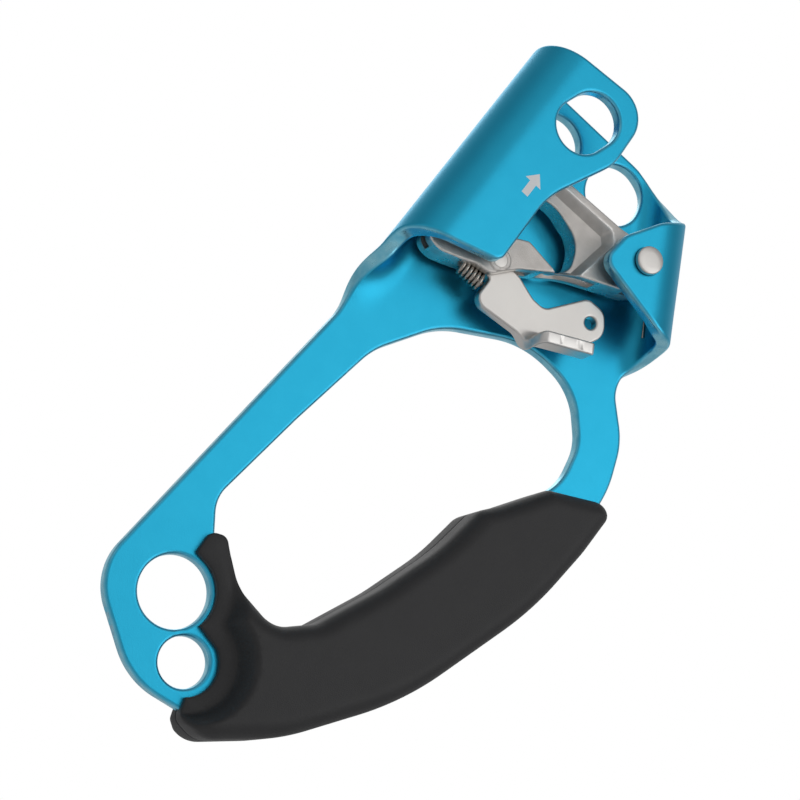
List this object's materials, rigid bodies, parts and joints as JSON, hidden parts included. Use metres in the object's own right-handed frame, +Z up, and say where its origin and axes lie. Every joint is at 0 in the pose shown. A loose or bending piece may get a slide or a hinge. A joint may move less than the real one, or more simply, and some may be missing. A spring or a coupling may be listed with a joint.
{
  "type": "handled rope ascender",
  "caption": "Handled rope clamp: folded metal frame with a rope channel, a toothed sprung cam with a safety trigger, and a rubber hand grip.",
  "frame": {"origin": "on the axis of the rope channel, level with the cam's pivot", "axes": "+Z up the rope, +Y from the open front to the back plate, +X from the rope channel towards the cam's pivot"},
  "size_m": [0.0931, 0.0331, 0.196],
  "materials": {
    "anodised": "satin blue anodised, polished edges",
    "grip_rubber": "fine matt moulded",
    "cast_steel": "blasted casting with rubbed edges",
    "polished_steel": "tumbled smooth",
    "spring_steel": "drawn wire",
    "brass": "turned"
  },
  "bodies": {
    "chassis": {"frame": "anodised", "grip_front_shell": "grip_rubber", "grip_rear_shell": "grip_rubber", "grip_screw_1": "polished_steel", "grip_screw_2": "polished_steel", "grip_screw_3": "polished_steel", "grip_insert_1": "brass", "grip_insert_2": "brass", "grip_insert_3": "brass", "cam_rivet": "polished_steel", "cam_washer_front": "polished_steel", "cam_washer_rear": "polished_steel", "cam_spring": "spring_steel"},
    "cam_body": {"cam": "cast_steel", "cam_bushing": "spring_steel", "trigger_pin": "polished_steel", "trigger_spring": "spring_steel"},
    "trigger_body": {"trigger": "polished_steel", "spring_guide": "polished_steel"}
  },
  "joints": [
    {"name": "cam_pivot", "type": "hinge", "parent": "chassis", "child": "cam_body", "pos_m": [0.0434, 0, 0], "axis": [0, -1, 0], "range_deg": [0, 55], "stiffness_Nm_per_rad": 0.03, "springref_deg": -68.75, "deforming": ["cam_spring"]},
    {"name": "trigger_pivot", "type": "hinge", "parent": "cam_body", "child": "trigger_body", "pos_m": [0.0142, 0, -0.0248], "axis": [0, 1, 0], "range_deg": [0, 22], "stiffness_Nm_per_rad": 0.01, "springref_deg": -28.65, "deforming": ["trigger_spring"]}
  ],
  "couplings": [
    {"joint": "trigger_pivot", "follows": "cam_pivot", "ratio": 0.4}
  ]
}
